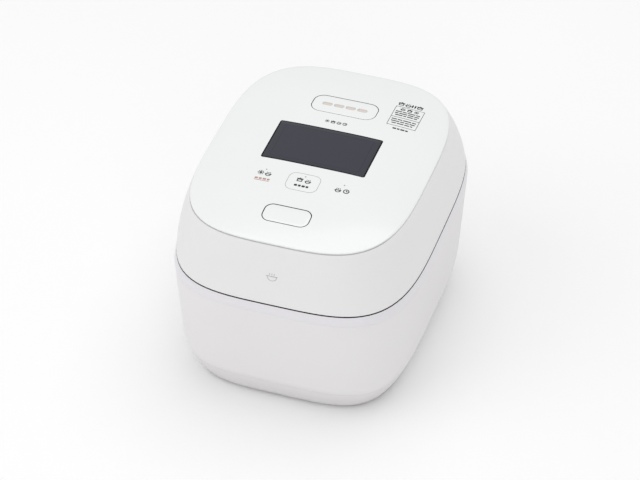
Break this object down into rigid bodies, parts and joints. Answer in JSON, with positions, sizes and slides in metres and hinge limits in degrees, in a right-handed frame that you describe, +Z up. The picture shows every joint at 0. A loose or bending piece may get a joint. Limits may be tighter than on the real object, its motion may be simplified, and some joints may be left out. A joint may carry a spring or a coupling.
{
  "type": "rice cooker",
  "caption": "Table-top induction rice cooker with a hinged, crowned lid, an open button, a display window, a lift-out steam cap, an inner pot, coils, a fan and a cord reel.",
  "frame": {"origin": "middle of the footprint's bounding box, on the table under the feet", "axes": "+Z up, the front with the open button faces -Y, +X to the object's right seen from the front, the lid hinge at +Y"},
  "size_m": [0.2746, 0.3448, 0.235],
  "materials": {
    "white_panel": "glossy",
    "white_shell": "semi-gloss",
    "white_frame": "satin",
    "smoked_lens": "glossy, smoked",
    "lcd": "glossy",
    "grey_plastic": "satin",
    "black_plastic": "satin",
    "rubber": "matte",
    "silicone": "satin",
    "steel": "satin",
    "pot": "dark non-stick coating",
    "aluminium": "satin",
    "copper": "enamelled copper",
    "ferrite": "matte sintered",
    "board": "solder mask"
  },
  "bodies": {
    "cooker": {"case_shell": "white_shell", "upper_frame": "white_frame", "base_cover": "white_shell", "base_screw_1": "steel", "base_screw_2": "steel", "base_screw_3": "steel", "base_screw_4": "steel", "foot_front_left": "rubber", "foot_front_right": "rubber", "foot_rear_left": "rubber", "foot_rear_right": "rubber", "inner_pot": "pot", "pot_well": "black_plastic", "inner_coil": "copper", "outer_coil": "copper", "side_heater": "aluminium", "ferrite_clamp": "ferrite", "sensor_holder": "grey_plastic", "sensor_spring": "steel", "control_board": "board", "heat_sink": "aluminium", "smoothing_capacitor": "black_plastic", "filter_choke": "copper", "fan_housing": "black_plastic", "reel_case": "grey_plastic", "reel_axle": "steel", "cord_outlet": "grey_plastic", "catch_plate": "steel", "hinge_pin": "steel", "lid_spring": "steel", "hinge_cover": "white_frame"},
    "sensor": {"temperature_sensor": "aluminium"},
    "fan": {"fan_rotor": "black_plastic"},
    "reel": {"reel_drum": "grey_plastic"},
    "lid": {"lid_shell": "white_shell", "top_panel": "white_panel", "display_window": "smoked_lens", "lcd_module": "lcd", "display_board": "board", "button_guide": "grey_plastic", "button_spring": "steel", "latch_pin": "steel", "latch_lug_left": "grey_plastic", "latch_lug_right": "grey_plastic", "steam_well": "white_frame", "steam_duct": "silicone", "lid_liner": "white_frame", "inner_lid": "steel", "lid_seal": "silicone", "valve_seat": "steel", "relief_valve": "steel", "solenoid": "grey_plastic"},
    "open_key": {"open_button": "white_panel"},
    "latch": {"latch_hook": "steel"},
    "steam_vent": {"steam_cap": "white_panel", "steam_tray": "white_panel"},
    "plunger": {"solenoid_plunger": "steel"},
    "valve_ball": {"pressure_ball": "steel"}
  },
  "joints": [
    {"name": "lid_hinge", "type": "hinge", "parent": "cooker", "child": "lid", "pos_m": [0, 0.166, 0.162], "axis": [-1, 0, 0], "range_deg": [0, 95]},
    {"name": "open_button_press", "type": "slide", "parent": "lid", "child": "open_key", "axis": [0, 0, -1], "range_m": [0, 0.003], "stiffness_N_per_m": 600, "deforming": ["button_spring"]},
    {"name": "latch_hook_swing", "type": "hinge", "parent": "lid", "child": "latch", "pos_m": [0, -0.15, 0.174], "axis": [-1, 0, 0], "range_deg": [0, 6.7]},
    {"name": "steam_cap_lift", "type": "slide", "parent": "lid", "child": "steam_vent", "axis": [0, 0, 1], "range_m": [0, 0.025]},
    {"name": "sensor_press", "type": "slide", "parent": "cooker", "child": "sensor", "axis": [0, 0, -1], "range_m": [0, 0.003], "stiffness_N_per_m": 500, "deforming": ["sensor_spring"]},
    {"name": "fan_spin", "type": "hinge", "parent": "cooker", "child": "fan", "pos_m": [0.048, 0.085, 0.0182], "axis": [0, 0, 1], "continuous": true},
    {"name": "reel_spin", "type": "hinge", "parent": "cooker", "child": "reel", "pos_m": [-0.05, 0.088, 0.025], "axis": [0, 0, 1], "continuous": true},
    {"name": "plunger_push", "type": "slide", "parent": "lid", "child": "plunger", "axis": [-1, 0, 0], "range_m": [0, 0.004], "stiffness_N_per_m": 80},
    {"name": "ball_roll", "type": "slide", "parent": "lid", "child": "valve_ball", "axis": [-1, 0, 0], "range_m": [0, 0.004]}
  ],
  "couplings": [
    {"joint": "latch_hook_swing", "follows": "open_button_press", "rad_per_m": 38.5},
    {"joint": "ball_roll", "follows": "plunger_push", "ratio": 1}
  ]
}
